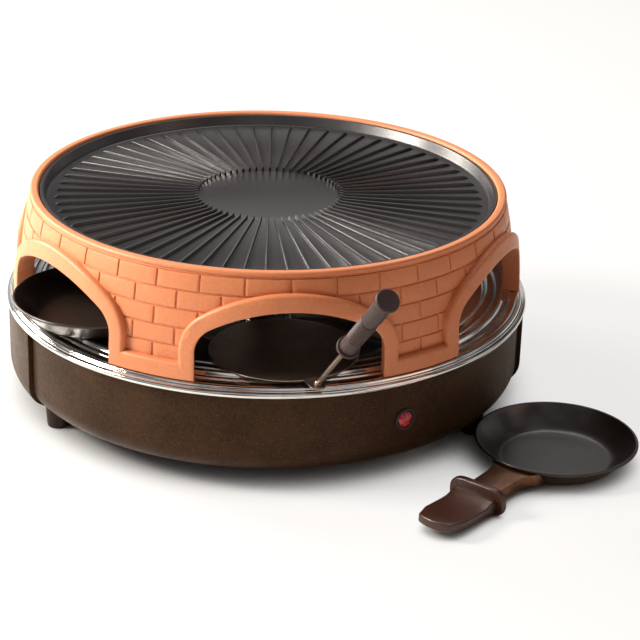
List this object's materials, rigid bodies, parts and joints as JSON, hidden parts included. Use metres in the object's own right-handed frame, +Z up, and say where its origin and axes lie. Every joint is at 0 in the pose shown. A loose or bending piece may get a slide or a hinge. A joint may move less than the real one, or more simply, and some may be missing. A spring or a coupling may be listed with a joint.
{
  "type": "electric pizza maker",
  "caption": "Round table-top electric pizza oven: brown base, mirror-finish baking tray, brick-patterned terracotta ring with arched openings, ribbed grill plate, small pans and a spatula.",
  "frame": {"origin": "on the table, under the centre of the round base", "axes": "+Z up, -Y out through the centre of the front opening, where the spatula lies, +X to the right"},
  "size_m": [0.4833, 0.5404, 0.2121],
  "materials": {
    "powder_coat": "dark brown powder coat with fine flecks",
    "cover_steel": "plain zinc-plated sheet",
    "foot_plastic": "dark brown, matte",
    "fastener_steel": "zinc-plated",
    "gland_plastic": "black, matte",
    "bezel_plastic": "black, satin",
    "lens_red": "translucent red, glossy",
    "lamp_holder_plastic": "natural",
    "reflector_aluminium": "bright",
    "tray_steel": "mirror-polished stainless steel",
    "element_sheath": "heat-darkened",
    "insulator_ceramic": "unglazed",
    "lead_insulation": "silicone insulation",
    "column_steel": "satin",
    "terracotta": "terracotta, satin, brick relief",
    "grill_coating": "black non-stick coating, satin",
    "pan_coating": "black non-stick coating, satin",
    "bracket_steel": "heat-tinted brown steel",
    "bakelite": "dark brown moulding, satin",
    "spatula_steel": "satin stainless steel",
    "grip_plastic": "dark brown moulding"
  },
  "bodies": {
    "base": {"base_shell": "powder_coat", "bottom_cover": "cover_steel", "feet": "foot_plastic", "foot_screws": "fastener_steel", "foot_nuts": "fastener_steel", "cover_screws": "fastener_steel", "cord_gland": "gland_plastic", "gland_nut": "gland_plastic", "pilot_bezel": "bezel_plastic", "pilot_lens": "lens_red", "pilot_lamp_holder": "lamp_holder_plastic", "heat_reflector": "reflector_aluminium", "baking_tray": "tray_steel", "lower_element": "element_sheath", "lower_element_clips": "fastener_steel", "thermostat": "insulator_ceramic", "thermal_fuse": "fastener_steel", "terminal_block": "insulator_ceramic", "internal_leads": "lead_insulation", "stud_spacers": "fastener_steel", "column_foot": "column_steel", "column_tube": "column_steel", "centre_stud": "fastener_steel", "stud_nuts": "fastener_steel", "element_spider": "column_steel", "upper_element": "element_sheath", "upper_element_clips": "fastener_steel"},
    "ring": {"terracotta_ring": "terracotta"},
    "grill": {"grill_plate": "grill_coating"},
    "oven_pan": {"oven_pan_dish": "pan_coating", "oven_pan_bracket": "bracket_steel", "oven_pan_handle": "bakelite", "oven_pan_rivets": "fastener_steel"},
    "table_pan": {"table_pan_dish": "pan_coating", "table_pan_bracket": "bracket_steel", "table_pan_handle": "bakelite", "table_pan_rivets": "fastener_steel"},
    "spatula": {"spatula_blade": "spatula_steel", "spatula_rod": "spatula_steel", "spatula_collar": "grip_plastic", "spatula_grip": "grip_plastic", "spatula_cap": "grip_plastic"}
  },
  "joints": [
    {"name": "ring_lift", "type": "slide", "parent": "base", "child": "ring", "axis": [0, 0, 1], "range_m": [0, 0.12]},
    {"name": "grill_lift", "type": "slide", "parent": "ring", "child": "grill", "axis": [0, 0, 1], "range_m": [0, 0.1]},
    {"name": "oven_pan_slide", "type": "slide", "parent": "base", "child": "oven_pan", "axis": [-0.866, -0.5, 0], "range_m": [0, 0.12]},
    {"name": "table_pan_slide", "type": "slide", "parent": "base", "child": "table_pan", "axis": [0.7986, -0.6018, 0], "range_m": [0, 0.15]},
    {"name": "spatula_slide", "type": "slide", "parent": "base", "child": "spatula", "axis": [0, -1, 0], "range_m": [0, 0.2]}
  ]
}
